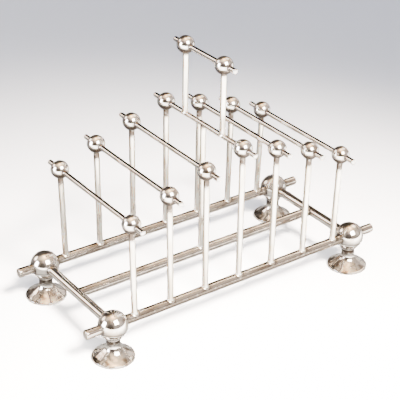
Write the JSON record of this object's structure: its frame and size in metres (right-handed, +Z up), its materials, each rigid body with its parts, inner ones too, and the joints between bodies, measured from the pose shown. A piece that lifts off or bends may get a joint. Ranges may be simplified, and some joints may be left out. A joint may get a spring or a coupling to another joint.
{
  "type": "toast rack",
  "caption": "Free-standing toast rack of plated rods and turned balls, with rising partitions, a carrying handle and turned feet.",
  "frame": {"origin": "centre of the footprint, on the surface that the feet stand on", "axes": "+X along the side rails, +Y along the crossbars, +Z up"},
  "size_m": [0.1616, 0.0774, 0.119],
  "materials": {
    "rod_silver_plate": "polished silver plate on drawn rod",
    "turned_silver_plate": "polished silver plate on turned balls",
    "cast_silver_plate": "polished silver plate on turned castings"
  },
  "bodies": {
    "root": {"foot_left_front": "cast_silver_plate", "foot_left_back": "cast_silver_plate", "foot_right_front": "cast_silver_plate", "foot_right_back": "cast_silver_plate", "corner_ball_left_front": "turned_silver_plate", "corner_ball_left_back": "turned_silver_plate", "corner_ball_right_front": "turned_silver_plate", "corner_ball_right_back": "turned_silver_plate", "side_rail_front": "rod_silver_plate", "side_rail_back": "rod_silver_plate", "end_rail_left": "rod_silver_plate", "end_rail_right": "rod_silver_plate", "middle_rail": "rod_silver_plate", "post_1_front": "rod_silver_plate", "post_1_back": "rod_silver_plate", "post_2_front": "rod_silver_plate", "post_2_back": "rod_silver_plate", "post_3_front": "rod_silver_plate", "post_3_back": "rod_silver_plate", "post_4_front": "rod_silver_plate", "post_4_back": "rod_silver_plate", "post_5_front": "rod_silver_plate", "post_5_back": "rod_silver_plate", "post_6_front": "rod_silver_plate", "post_6_back": "rod_silver_plate", "post_7_front": "rod_silver_plate", "post_7_back": "rod_silver_plate", "post_ball_1_front": "turned_silver_plate", "post_ball_1_back": "turned_silver_plate", "post_ball_2_front": "turned_silver_plate", "post_ball_2_back": "turned_silver_plate", "post_ball_3_front": "turned_silver_plate", "post_ball_3_back": "turned_silver_plate", "post_ball_4_front": "turned_silver_plate", "post_ball_4_back": "turned_silver_plate", "post_ball_5_front": "turned_silver_plate", "post_ball_5_back": "turned_silver_plate", "post_ball_6_front": "turned_silver_plate", "post_ball_6_back": "turned_silver_plate", "post_ball_7_front": "turned_silver_plate", "post_ball_7_back": "turned_silver_plate", "crossbar_1": "rod_silver_plate", "crossbar_2": "rod_silver_plate", "crossbar_3": "rod_silver_plate", "crossbar_4": "rod_silver_plate", "crossbar_5": "rod_silver_plate", "crossbar_6": "rod_silver_plate", "crossbar_7": "rod_silver_plate", "centre_post": "rod_silver_plate", "handle_post_front": "rod_silver_plate", "handle_post_back": "rod_silver_plate", "handle_ball_front": "turned_silver_plate", "handle_ball_back": "turned_silver_plate", "handle_bar": "rod_silver_plate"}
  },
  "joints": []
}
